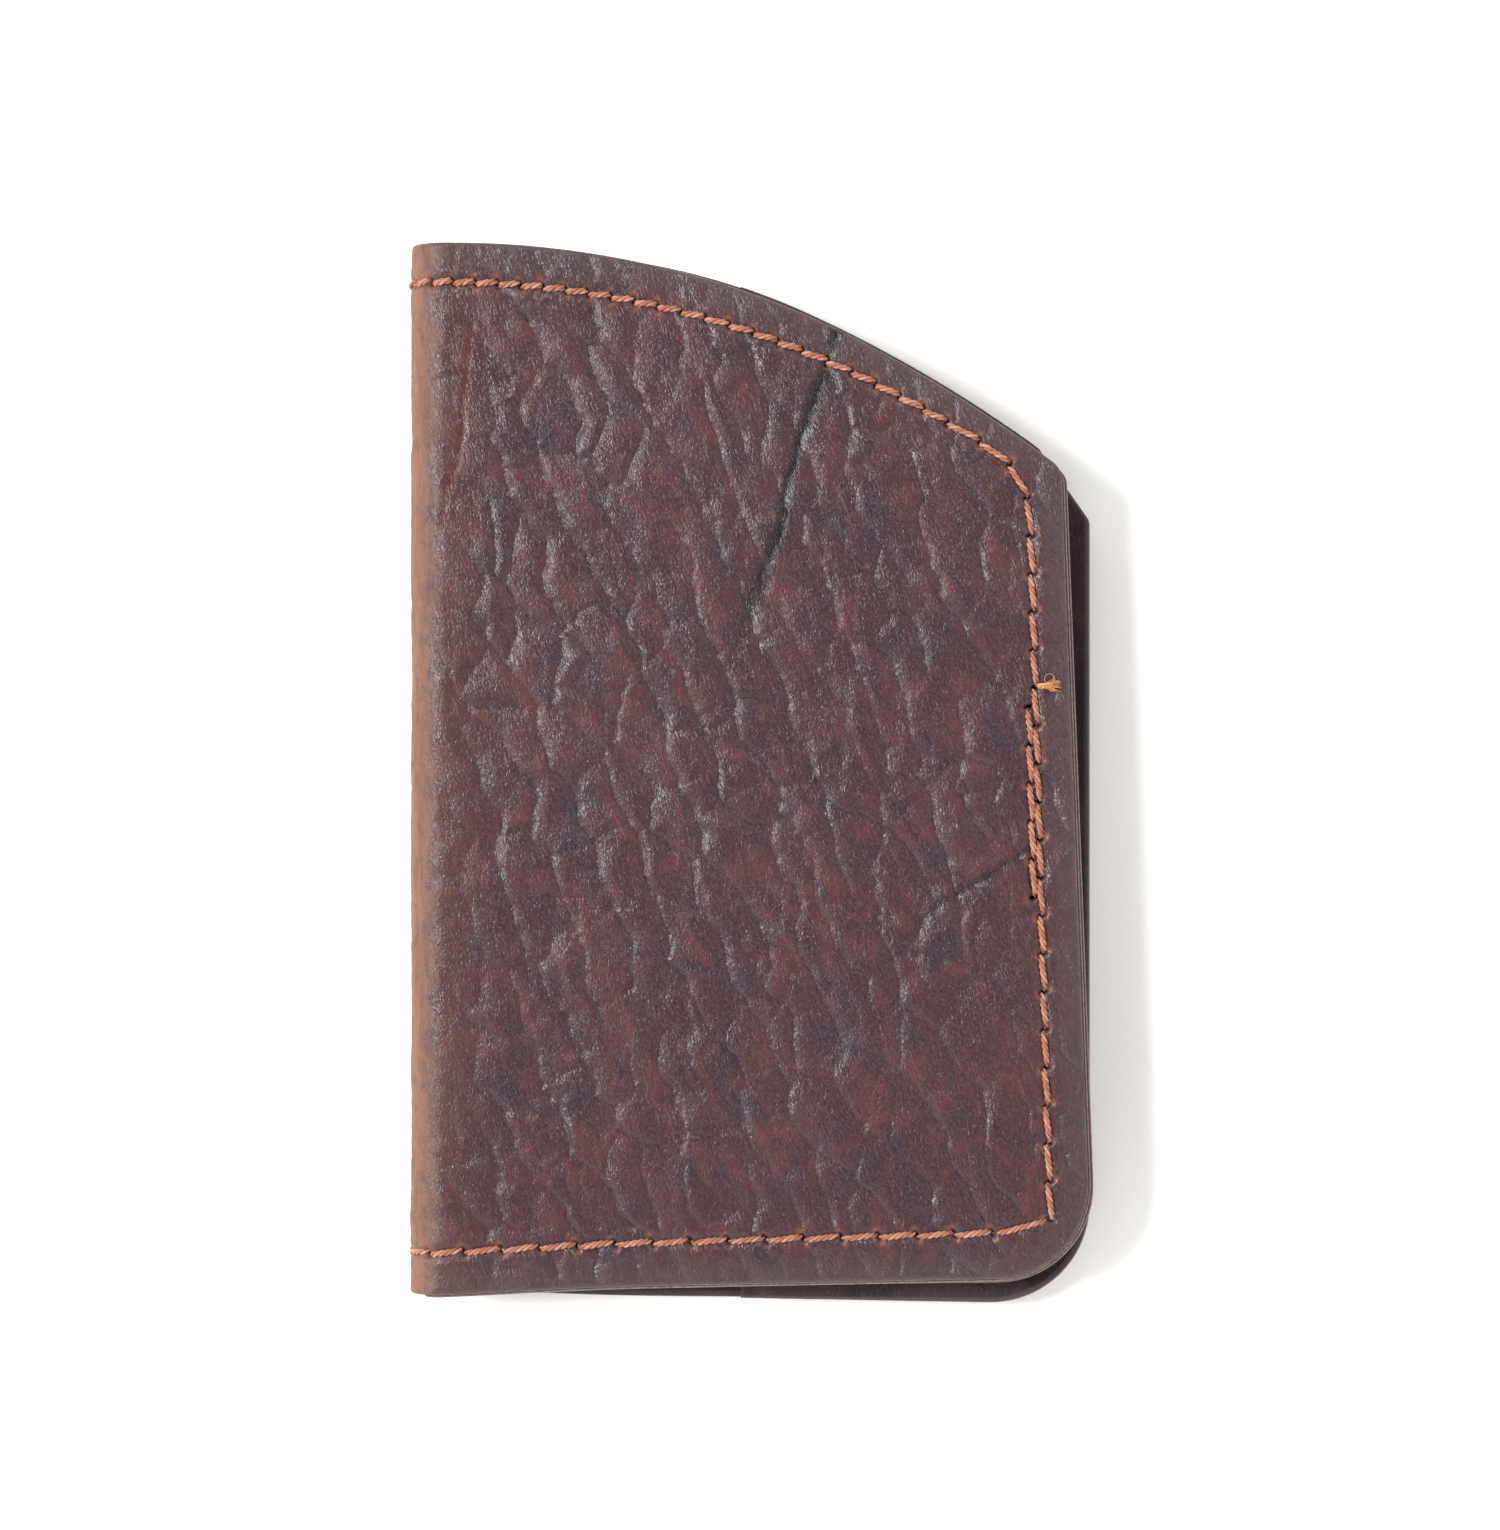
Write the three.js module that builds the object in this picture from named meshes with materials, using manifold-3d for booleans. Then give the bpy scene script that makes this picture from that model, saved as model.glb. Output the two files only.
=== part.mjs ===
// A bifold business card case in leather, closed and lying on its back cover.
// One piece of outer leather and one lining wrap round the spine on the left. A card pocket is
// sewn to each inner face with its mouth towards the spine, and one lockstitched seam, a needle
// thread outside and a bobbin thread inside, runs round the whole opened case.
// X runs from the spine to the free edge, Y up the case and Z up through its thickness.
// The leather bends at two folds, so each sheet is in three: back, spine and front.
import * as THREE from "three";
import { mergeVertices } from "three/addons/utils/BufferGeometryUtils.js";
import Module from "manifold-3d";

const wasm = await Module();
wasm.setup();

// Driving dimensions, in millimetres and degrees
const WIDTH = 77.9;
const HEIGHT = 121.6;
const LEATHER = 1.4;
const LINING = 0.7;
const POCKET = 0.9;
const THREAD_WIDE = 0.7;
const THREAD_HIGH = 0.5;
const CARD = { width: 51, height: 89 };
const STACK = 4.5; // room for about ten cards in the back pocket
const SLIP = 1.3; // room for one or two cards in the front pocket
const COVER_GAP = 0.4; // between the two closed pockets
const FOLD_RADIUS = 4; // outside radius of each fold
const CLEAR = 0.3; // between neighbouring solids
const GROOVE_DEPTH = THREAD_HIGH + CLEAR;
const GROOVE_WIDE = THREAD_WIDE + 2 * CLEAR;

// How deep each layer starts, measured in from the outer face of its own half
const LINING_DEPTH = LEATHER + CLEAR;
const POCKET_DEPTH = LINING_DEPTH + LINING + CLEAR;
const BOBBIN_DEPTH = LINING_DEPTH + LINING + CLEAR;
const BOBBIN_ON_POCKET = POCKET_DEPTH + POCKET + CLEAR;
const STACK_TOP = LINING_DEPTH + LINING + STACK;
const SLIP_TOP = LINING_DEPTH + LINING + SLIP;
const THICKNESS = STACK_TOP + POCKET + COVER_GAP + SLIP_TOP + POCKET;

const SPINE_X = -WIDTH / 2;
const FOLD_X = SPINE_X + FOLD_RADIUS;
const OVERRUN = 5; // how far a cutter runs past what it cuts
const rad = THREE.MathUtils.degToRad;

// The edge and the seam of each half. The top runs level from the spine to x = level, then down
// two arcs, radius r1 to slope a1 and radius r2 to slope a2, then straight at slope a3 to the
// free edge, whose x is right at y = 0 and which leans in by lean towards the top. The bottom
// edge starts at bottom on the spine and climbs at rise. The fold isn't quite square to the
// leather, so the front half sits turned a little against the back half.
const FRONT_EDGE = {
  top: 60.5, level: -32.9, r1: 97.7, a1: 27.1, r2: 153, a2: 36.4, a3: 36.4,
  right: 36.3, lean: 2.15, corner: 2.6, bottom: -58.5, rise: 1.15, foot: 10.6,
};
const BACK_EDGE = {
  top: 60.8, level: -26.5, r1: 78.7, a1: 24.6, r2: 156, a2: 36, a3: 55,
  right: WIDTH / 2 - 0.8, lean: 0, corner: 1.2, bottom: -59.7, rise: -0.5, foot: 11,
};
const FRONT_SEAM = {
  top: 56, level: -34.4, r1: 107.6, a1: 27.9, r2: 230, a2: 30.2, a3: 30.2,
  right: 32.2, lean: 1.6, corner: 10, bottom: -53.7, rise: 1.6, foot: 4.2,
};
const BACK_SEAM = {
  top: 56.2, level: -26.5, r1: 74.2, a1: 24.6, r2: 151.5, a2: 36, a3: 36,
  right: 34.2, lean: 0, corner: 7, bottom: -55.1, rise: -0.5, foot: 5.8,
};
// The closed case pushes each inner layer out past the one over it, at the free edge and below
const CREEP = { right: 0.4, bottom: 0.3 };

// Pocket mouths: x at y = 0, and the angle by which the mouth leans to the spine at its top
const BACK_MOUTH = { x: -1.5, lean: 0 };
const FRONT_MOUTH = { x: -1.5, lean: 1.25 };
// The card that each pocket is shaped to: its right and bottom edges
const BACK_CARD = { right: 22.5, bottom: -53.1 };
const FRONT_CARD = { right: 22.2, bottom: -50.4 };

// The seam's two ends overlap on the front half, from this height down to this one
const BACKTACK = { from: 11, to: -13, wide: 0.5 };
const TAIL = { y: 10.4, length: 2.1, wide: 0.8 };

// --- Plane outlines -------------------------------------------------------------------------

function arc(cx, cy, radius, from, to, steps) {
  return Array.from({ length: steps + 1 }, (_, i) => {
    const a = rad(from + ((to - from) * i) / steps);
    return new THREE.Vector2(cx + radius * Math.cos(a), cy + radius * Math.sin(a));
  });
}

// The corner at b between a and c, rounded to radius
function fillet(a, b, c, radius, steps = 8) {
  const toA = a.clone().sub(b).normalize();
  const toC = c.clone().sub(b).normalize();
  const half = Math.acos(toA.dot(toC)) / 2;
  const bisector = toA.clone().add(toC).normalize();
  const centre = b.clone().addScaledVector(bisector, radius / Math.sin(half));
  const start = b.clone().addScaledVector(toA, radius / Math.tan(half)).sub(centre);
  const sweep = (Math.PI - 2 * half) * Math.sign(toA.cross(toC)) * -1;
  return Array.from({ length: steps + 1 }, (_, i) =>
    start.clone().rotateAround(new THREE.Vector2(), (sweep * i) / steps).add(centre));
}

function crossing(p, slopeP, q, slopeQ) {
  const dp = new THREE.Vector2(Math.cos(rad(slopeP)), Math.sin(rad(slopeP)));
  const dq = new THREE.Vector2(Math.cos(rad(slopeQ)), Math.sin(rad(slopeQ)));
  const along = q.clone().sub(p).cross(dq) / dp.cross(dq);
  return p.clone().addScaledVector(dp, along);
}

// An edge or seam, grown outwards by grow, as a closed outline that runs on past the spine
function outline(e, grow = 0) {
  const r1 = e.r1 + grow;
  const r2 = e.r2 + grow;
  const c1 = new THREE.Vector2(e.level, e.top - e.r1);
  const turn1 = 90 - e.a1;
  const c2 = c1.clone().addScaledVector(
    new THREE.Vector2(Math.cos(rad(turn1)), Math.sin(rad(turn1))), e.r1 - e.r2);
  const topArcs = [
    ...arc(c1.x, c1.y, r1, 90, turn1, 12),
    ...arc(c2.x, c2.y, r2, turn1, 90 - e.a2, 8).slice(1),
  ];
  const end = topArcs[topArcs.length - 1];
  const side = new THREE.Vector2(e.right + grow / Math.cos(rad(e.lean)), 0);
  const base = new THREE.Vector2(SPINE_X, e.bottom - grow / Math.cos(rad(e.rise)));
  const shoulder = crossing(end, -e.a3, side, 90 + e.lean);
  const foot = crossing(side, 90 + e.lean, base, e.rise);
  const start = base.clone().addScaledVector(
    new THREE.Vector2(Math.cos(rad(e.rise)), Math.sin(rad(e.rise))), -OVERRUN);
  return [
    start,
    ...fillet(base, foot, shoulder, e.foot + grow),
    ...fillet(foot, shoulder, end, e.corner + grow),
    ...topArcs.reverse(),
    new THREE.Vector2(start.x, e.top + grow),
  ];
}

// One layer of a half, seen along the spine: flat from the free edge to the fold, then round the
// first eighth of the fold. z is measured in from the half's own outer face.
function halfSection(depth, thick) {
  const split = (radius) => -135 + THREE.MathUtils.radToDeg(Math.asin(CLEAR / 2 / radius));
  const outer = FOLD_RADIUS - depth;
  const inner = outer - thick;
  return [
    new THREE.Vector2(WIDTH, depth),
    ...arc(FOLD_X, FOLD_RADIUS, outer, -90, split(outer), 6),
    ...arc(FOLD_X, FOLD_RADIUS, inner, split(inner), -90, 6),
    new THREE.Vector2(WIDTH, depth + thick),
  ];
}

// One layer of the spine: an eighth of a turn, the upright strip and another eighth
function spineSection(depth, thick) {
  const split = (radius) => -135 - THREE.MathUtils.radToDeg(Math.asin(CLEAR / 2 / radius));
  const side = (radius) => {
    const low = arc(FOLD_X, FOLD_RADIUS, radius, split(radius), -180, 6);
    const high = low.map((p) => new THREE.Vector2(p.x, THICKNESS - p.y)).reverse();
    return [...low, ...high];
  };
  return [...side(FOLD_RADIUS - depth), ...side(FOLD_RADIUS - depth - thick).reverse()];
}

const upsideDown = (points) => points.map((p) => new THREE.Vector2(p.x, THICKNESS - p.y));

// The edge of the first or second layer inside the outer leather
function creptEdge(e, layers) {
  return {
    ...e,
    right: e.right + layers * CREEP.right,
    bottom: e.bottom - layers * CREEP.bottom,
    foot: e.foot + layers * CREEP.bottom,
  };
}

// --- Solids ---------------------------------------------------------------------------------

function solid(geometry) {
  geometry.deleteAttribute("normal");
  geometry.deleteAttribute("uv");
  const merged = mergeVertices(geometry, 1e-4);
  return new wasm.Manifold(new wasm.Mesh({
    numProp: 3,
    vertProperties: merged.attributes.position.array,
    triVerts: new Uint32Array(merged.index.array),
  }));
}

function extruded(points, depth) {
  return new THREE.ExtrudeGeometry(new THREE.Shape(points), { depth, bevelEnabled: false });
}

// Points in x and y, raised through the whole thickness
function upright(points) {
  return solid(extruded(points, THICKNESS + 2 * OVERRUN).translate(0, 0, -OVERRUN));
}

// Points in x and z, run along the whole height
function lengthwise(points) {
  const long = HEIGHT + 2 * OVERRUN;
  return solid(extruded(points, long).rotateX(Math.PI / 2).translate(0, long / 2, 0));
}

// Points in y and z, run through the spine
function acrossSpine(points) {
  const wide = FOLD_RADIUS + 2 * OVERRUN;
  return solid(extruded(points, wide).rotateZ(Math.PI / 2).rotateY(Math.PI / 2)
    .translate(SPINE_X - OVERRUN, 0, 0));
}

function box(x0, x1, y0, y1, z0, z1) {
  return solid(new THREE.BoxGeometry(x1 - x0, y1 - y0, z1 - z0)
    .translate((x0 + x1) / 2, (y0 + y1) / 2, (z0 + z1) / 2));
}

const spineLayer = (depth, thick) => lengthwise(spineSection(depth, thick));

// A flat slab of a half, clear of the fold
const flatBox = (from, to) => box(FOLD_X, WIDTH, -HEIGHT, HEIGHT, from, to);

const BACK = {
  edge: BACK_EDGE,
  seam: BACK_SEAM,
  layer: (depth, thick) => lengthwise(halfSection(depth, thick)),
  flat: (depth, thick) => flatBox(depth, depth + thick),
};
const FRONT = {
  edge: FRONT_EDGE,
  seam: FRONT_SEAM,
  layer: (depth, thick) => lengthwise(upsideDown(halfSection(depth, thick))),
  flat: (depth, thick) => flatBox(THICKNESS - depth - thick, THICKNESS - depth),
};

// A band of this width that follows a seam, through the whole thickness
function seamBand(seam, wide, offset = 0) {
  return upright(outline(seam, offset + wide / 2)).subtract(upright(outline(seam, offset - wide / 2)));
}

// The half space on the free side of a pocket's mouth, moved by shift away from the spine
function beyondMouth(mouth, shift = 0) {
  const reach = HEIGHT;
  const lean = reach * Math.tan(rad(mouth.lean));
  const x = mouth.x + shift;
  return upright([
    new THREE.Vector2(x + lean, -reach),
    new THREE.Vector2(WIDTH, -reach),
    new THREE.Vector2(WIDTH, reach),
    new THREE.Vector2(x - lean, reach),
  ]);
}

// --- The outer leather ----------------------------------------------------------------------

const DEEP = LEATHER + OVERRUN;

function backOuterLeather() {
  const groove = BACK.layer(-CLEAR, GROOVE_DEPTH + CLEAR).intersect(seamBand(BACK_SEAM, GROOVE_WIDE));
  return BACK.layer(0, LEATHER).intersect(upright(outline(BACK_EDGE))).subtract(groove);
}

function backtackBand(wide) {
  const offset = -(THREAD_WIDE / 2 + CLEAR + BACKTACK.wide / 2);
  return seamBand(FRONT_SEAM, wide, offset).intersect(
    box(0, WIDTH, BACKTACK.to, BACKTACK.from, -OVERRUN, THICKNESS + OVERRUN));
}

// The seam's x on the free side at this height
function seamSide(seam, y) {
  return seam.right - y * Math.tan(rad(seam.lean));
}

function tailBox(margin, low, high) {
  const x = seamSide(FRONT_SEAM, TAIL.y) + THREAD_WIDE / 2 + CLEAR;
  const half = TAIL.wide / 2 + margin;
  return box(x - margin, x + TAIL.length + margin, TAIL.y - half, TAIL.y + half, low, high);
}

function frontOuterLeather() {
  const surface = FRONT.layer(-CLEAR, GROOVE_DEPTH + CLEAR);
  const tackRoom = box(0, WIDTH, BACKTACK.to - CLEAR, BACKTACK.from + CLEAR, 0, DEEP + THICKNESS);
  const tackOffset = -(THREAD_WIDE / 2 + CLEAR + BACKTACK.wide / 2);
  const tack = seamBand(FRONT_SEAM, BACKTACK.wide + 2 * CLEAR, tackOffset).intersect(tackRoom);
  const grooves = surface.intersect(seamBand(FRONT_SEAM, GROOVE_WIDE).add(tack));
  const tail = tailBox(CLEAR, THICKNESS - GROOVE_DEPTH, THICKNESS + OVERRUN);
  return FRONT.layer(0, LEATHER).intersect(upright(outline(FRONT_EDGE))).subtract(grooves).subtract(tail);
}

// The spine's ends run from the back half's edge up to the front half's
function spineSlab(backY, frontY, wide, far) {
  const split = FOLD_RADIUS * (1 - Math.SQRT1_2);
  return acrossSpine([
    new THREE.Vector2(backY[0] - wide, split),
    new THREE.Vector2(backY[0] - wide, -OVERRUN),
    new THREE.Vector2(backY[1] + wide, -OVERRUN),
    new THREE.Vector2(backY[1] + wide, split),
    new THREE.Vector2(frontY[1] + wide, THICKNESS - split),
    new THREE.Vector2(frontY[1] + wide, THICKNESS + far),
    new THREE.Vector2(frontY[0] - wide, THICKNESS + far),
    new THREE.Vector2(frontY[0] - wide, THICKNESS - split),
  ]);
}

function spineSheet(depth, thick) {
  return spineLayer(depth, thick).intersect(
    spineSlab([BACK_EDGE.bottom, BACK_EDGE.top], [FRONT_EDGE.bottom, FRONT_EDGE.top], 0, OVERRUN));
}

function spineThread(depth, thick, end, wide) {
  return spineLayer(depth, thick).intersect(spineSlab(
    [BACK_SEAM[end], BACK_SEAM[end]], [FRONT_SEAM[end], FRONT_SEAM[end]], wide / 2, OVERRUN));
}

function spineOuterLeather() {
  return ["top", "bottom"].reduce(
    (leather, end) => leather.subtract(
      spineThread(-CLEAR, GROOVE_DEPTH + CLEAR, end, GROOVE_WIDE)),
    spineSheet(0, LEATHER));
}

// --- The lining and the pockets -------------------------------------------------------------

function lining(half) {
  return half.layer(LINING_DEPTH, LINING).intersect(upright(outline(creptEdge(half.edge, 1))));
}

function cardPrism(card, margin, corner, low, high) {
  const left = card.right - CARD.width - margin;
  const right = card.right + margin;
  const bottom = card.bottom - margin;
  const top = card.bottom + CARD.height + margin;
  const v = (x, y) => new THREE.Vector2(x, y);
  const points = [
    ...fillet(v(left, top), v(left, bottom), v(right, bottom), corner),
    ...fillet(v(left, bottom), v(right, bottom), v(right, top), corner),
    ...fillet(v(right, bottom), v(right, top), v(left, top), corner),
    ...fillet(v(right, top), v(left, top), v(left, bottom), corner),
  ];
  return solid(extruded(points, high - low).translate(0, 0, low));
}

// A flat flange along the seam, and a raised middle shaped to the cards
function pocket(half, mouth, card, raised) {
  const room = 0.25; // round the cards inside the pocket
  const level = (from, to) => half === BACK ? [from, to] : [THICKNESS - to, THICKNESS - from];
  const flange = half.flat(POCKET_DEPTH, POCKET)
    .intersect(upright(outline(creptEdge(half.edge, 2))));
  const shell = cardPrism(card, room + POCKET, 2.4, ...level(POCKET_DEPTH, raised + POCKET));
  const hollow = cardPrism(card, room, 1.5, ...level(POCKET_DEPTH - OVERRUN, raised));
  return flange.add(shell).subtract(hollow).intersect(beyondMouth(mouth));
}

// --- The threads ----------------------------------------------------------------------------

function needleThread(half) {
  return half.layer(0, THREAD_HIGH).intersect(seamBand(half.seam, THREAD_WIDE));
}

// On the lining from the spine to the mouth, then up a step and on the pocket's flange
function bobbinThread(half, mouth) {
  const band = seamBand(half.seam, THREAD_WIDE);
  const low = half.layer(BOBBIN_DEPTH, THREAD_HIGH).subtract(beyondMouth(mouth, -CLEAR));
  const step = beyondMouth(mouth, -CLEAR - THREAD_HIGH);
  const high = half.flat(BOBBIN_ON_POCKET, THREAD_HIGH).intersect(step);
  const riser = half.flat(BOBBIN_DEPTH, BOBBIN_ON_POCKET + THREAD_HIGH - BOBBIN_DEPTH)
    .intersect(step).subtract(beyondMouth(mouth, -CLEAR));
  return band.intersect(low.add(high).add(riser));
}

const frontBacktackThread = () => FRONT.layer(0, THREAD_HIGH).intersect(backtackBand(BACKTACK.wide));
const frontBacktackBobbin = () =>
  FRONT.flat(BOBBIN_ON_POCKET, THREAD_HIGH).intersect(backtackBand(BACKTACK.wide));
const frontThreadTail = () => tailBox(0, THICKNESS - THREAD_HIGH, THICKNESS);

// --- Assembly -------------------------------------------------------------------------------

const outerLeather = new THREE.MeshStandardMaterial({ color: 0x4a3230, roughness: 0.55, metalness: 0 });
const smoothLeather = new THREE.MeshStandardMaterial({ color: 0x2e2226, roughness: 0.5, metalness: 0 });
const liningFabric = new THREE.MeshStandardMaterial({ color: 0x33262a, roughness: 0.8, metalness: 0 });
const copperThread = new THREE.MeshStandardMaterial({ color: 0xa8643c, roughness: 0.6, metalness: 0 });

const caseGroup = new THREE.Group();

function add(name, made, material) {
  const mesh = made.getMesh();
  const geometry = new THREE.BufferGeometry()
    .setAttribute("position", new THREE.BufferAttribute(mesh.vertProperties, 3))
    .setIndex(new THREE.BufferAttribute(mesh.triVerts, 1));
  geometry.computeVertexNormals();
  const part = new THREE.Mesh(geometry, material);
  part.name = name;
  caseGroup.add(part);
}

add("back_outer_leather", backOuterLeather(), outerLeather);
add("spine_outer_leather", spineOuterLeather(), outerLeather);
add("front_outer_leather", frontOuterLeather(), outerLeather);
add("back_lining", lining(BACK), liningFabric);
add("spine_lining", spineSheet(LINING_DEPTH, LINING), liningFabric);
add("front_lining", lining(FRONT), liningFabric);
add("back_card_pocket", pocket(BACK, BACK_MOUTH, BACK_CARD, STACK_TOP), smoothLeather);
add("front_card_pocket", pocket(FRONT, FRONT_MOUTH, FRONT_CARD, SLIP_TOP), smoothLeather);
add("back_needle_thread", needleThread(BACK), copperThread);
add("front_needle_thread", needleThread(FRONT), copperThread);
add("back_bobbin_thread", bobbinThread(BACK, BACK_MOUTH), copperThread);
add("front_bobbin_thread", bobbinThread(FRONT, FRONT_MOUTH), copperThread);
for (const end of ["top", "bottom"]) {
  add(`spine_${end}_needle_thread`, spineThread(0, THREAD_HIGH, end, THREAD_WIDE), copperThread);
  add(`spine_${end}_bobbin_thread`, spineThread(BOBBIN_DEPTH, THREAD_HIGH, end, THREAD_WIDE), copperThread);
}
add("front_backtack_thread", frontBacktackThread(), copperThread);
add("front_backtack_bobbin_thread", frontBacktackBobbin(), copperThread);
add("front_thread_tail", frontThreadTail(), copperThread);

export default caseGroup;
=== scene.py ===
"""A leather business card case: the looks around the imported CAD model.

Each sheet of leather is meshed in its unrolled pattern plane, in millimetres: u runs across the
case to its free edge, y runs up it, and depth is measured in from the outer face of its half.
Half.place() rolls the pattern round the fold into the frame, in metres. The outer leather and
the lining are two pieces each, which meet half way up the spine, because a piece can bend across
only one fold.
"""

import bpy
import numpy as np
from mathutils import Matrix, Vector
from mathutils.geometry import delaunay_2d_cdt


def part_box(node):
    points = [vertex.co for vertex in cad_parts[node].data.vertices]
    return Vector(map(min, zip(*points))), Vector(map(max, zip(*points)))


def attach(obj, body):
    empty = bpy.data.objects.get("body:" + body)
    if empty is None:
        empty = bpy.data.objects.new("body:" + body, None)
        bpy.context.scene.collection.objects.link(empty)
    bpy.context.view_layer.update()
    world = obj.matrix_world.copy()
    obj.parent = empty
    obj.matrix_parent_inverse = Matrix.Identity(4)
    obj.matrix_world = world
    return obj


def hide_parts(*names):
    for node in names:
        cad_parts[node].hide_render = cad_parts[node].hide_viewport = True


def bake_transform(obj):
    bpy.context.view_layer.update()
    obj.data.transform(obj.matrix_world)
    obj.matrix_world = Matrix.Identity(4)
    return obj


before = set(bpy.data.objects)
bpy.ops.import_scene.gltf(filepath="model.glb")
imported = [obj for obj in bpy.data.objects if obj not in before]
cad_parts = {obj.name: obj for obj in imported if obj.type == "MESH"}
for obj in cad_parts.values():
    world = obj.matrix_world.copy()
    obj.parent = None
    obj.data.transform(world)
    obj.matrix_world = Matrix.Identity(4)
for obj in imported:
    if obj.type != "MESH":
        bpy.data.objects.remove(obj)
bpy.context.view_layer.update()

# --- Sizes, in millimetres and degrees, as part.mjs has them ---------------------------------

MM = 0.001
SPINE_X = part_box("spine_outer_leather")[0].x / MM
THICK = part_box("front_outer_leather")[1].z / MM
RADIUS = 4.0  # outside radius of each fold
FOLD_X = SPINE_X + RADIUS
QUARTER = RADIUS * np.pi / 2
REACH = QUARTER + THICK / 2 - RADIUS  # from the fold line to half way up the spine
END_U = FOLD_X - REACH

FRONT_EDGE = dict(top=60.5, level=-32.9, r1=97.7, a1=27.1, r2=153, a2=36.4, a3=36.4,
                  right=36.3, lean=2.15, corner=2.6, bottom=-58.5, rise=1.15, foot=10.6)
BACK_EDGE = dict(top=60.8, level=-26.5, r1=78.7, a1=24.6, r2=156, a2=36, a3=55,
                 right=38.15, lean=0, corner=1.2, bottom=-59.7, rise=-0.5, foot=11)
FRONT_SEAM = dict(top=56, level=-34.4, r1=107.6, a1=27.9, r2=230, a2=30.2, a3=30.2,
                  right=32.2, lean=1.6, corner=10, bottom=-53.7, rise=1.6, foot=4.2)
BACK_SEAM = dict(top=56.2, level=-26.5, r1=74.2, a1=24.6, r2=151.5, a2=36, a3=36,
                 right=34.2, lean=0, corner=7, bottom=-55.1, rise=-0.5, foot=5.8)
CREEP = 0.4  # how far each inner layer is pushed out past the last at the free edge
MOUTH_X = -1.5  # the mouth of each pocket, at y = 0
CARD_HIGH = 89.0  # the cards in the pockets stand upright
SPINE_BULGE = 0.3  # how far the spine's leather bulges out past its solid
STITCH_STAND = 0.34  # how far the back's stitches and grain stand out under it

# Depths of the layers of a half: outer leather, lining, and the card pocket's flat flange
OUTER_THICK = 1.5
LINING_FACE, LINING_THICK = 2.45, 0.9
POCKET_FACE, POCKET_THICK = 3.6, 1.05


# --- Plane outlines ---------------------------------------------------------------------------

def heading(degrees):
    return np.array([np.cos(np.radians(degrees)), np.sin(np.radians(degrees))])


def arc(centre, radius, start, end, steps):
    a = np.radians(np.linspace(start, end, steps + 1))
    return np.c_[centre[0] + radius * np.cos(a), centre[1] + radius * np.sin(a)]


def fillet(a, b, c, radius, steps=14):
    """The corner at b between a and c, rounded to radius."""
    to_a, to_c = ((p - b) / np.linalg.norm(p - b) for p in (a, c))
    half = np.arccos(to_a @ to_c) / 2
    centre = b + (to_a + to_c) / np.linalg.norm(to_a + to_c) * radius / np.sin(half)
    start = b + to_a * radius / np.tan(half) - centre
    sweep = -(np.pi - 2 * half) * np.sign(to_a[0] * to_c[1] - to_a[1] * to_c[0])
    t = np.linspace(0, sweep, steps + 1)
    turned = np.c_[start[0] * np.cos(t) - start[1] * np.sin(t),
                   start[0] * np.sin(t) + start[1] * np.cos(t)]
    return turned + centre


def crossing(p, slope_p, q, slope_q):
    dp, dq, gap = heading(slope_p), heading(slope_q), q - p
    along = (gap[0] * dq[1] - gap[1] * dq[0]) / (dp[0] * dq[1] - dp[1] * dq[0])
    return p + along * dp


def outline(e, chamfer=None):
    """An edge or seam from the spine's foot round the free edge to the spine's top. chamfer
    cuts the foot's corner straight, from so far before it to so far after it."""
    c1 = np.array([e["level"], e["top"] - e["r1"]])
    turn = 90 - e["a1"]
    c2 = c1 + heading(turn) * (e["r1"] - e["r2"])
    top = np.vstack([arc(c1, e["r1"], 90, turn, 24), arc(c2, e["r2"], turn, 90 - e["a2"], 16)[1:]])
    side, base = np.array([e["right"], 0.0]), np.array([SPINE_X, e["bottom"]])
    shoulder = crossing(top[-1], -e["a3"], side, 90 + e["lean"])
    foot = crossing(side, 90 + e["lean"], base, e["rise"])
    start = base + (END_U - SPINE_X) * np.array([1, np.tan(np.radians(e["rise"]))])
    corner = fillet(base, foot, shoulder, e["foot"])
    if chamfer:
        before, after = chamfer
        corner = np.array([foot - before * heading(e["rise"]), foot + after * heading(90)])
    return np.vstack([[start], corner, fillet(foot, shoulder, top[-1], e["corner"]), top[::-1],
                      [[END_U, e["top"]]]])


def crept(e, layer):
    """The edge of an inner layer. The pocket's also drops a little more towards the corner."""
    low, tilt = 0.45 * min(layer, 1), 0.55 * max(layer - 1, 0)
    base = e["bottom"] - low + np.tan(np.radians(tilt)) * (MOUTH_X - SPINE_X)
    return {**e, "right": e["right"] + layer * CREEP, "bottom": base, "rise": e["rise"] - tilt,
            "foot": e["foot"] + low}


def lengths(line):
    return np.r_[0, np.cumsum(np.hypot(*np.diff(line, axis=0).T))]


def at(line, s):
    """Points of a polyline at these lengths along it, and the direction of travel there."""
    run = lengths(line)
    point = lambda v: np.c_[np.interp(v, run, line[:, 0]), np.interp(v, run, line[:, 1])]
    ahead = point(np.minimum(s + 0.3, run[-1])) - point(np.maximum(s - 0.3, 0))
    return point(s), ahead / np.hypot(*ahead.T)[:, None]


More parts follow.
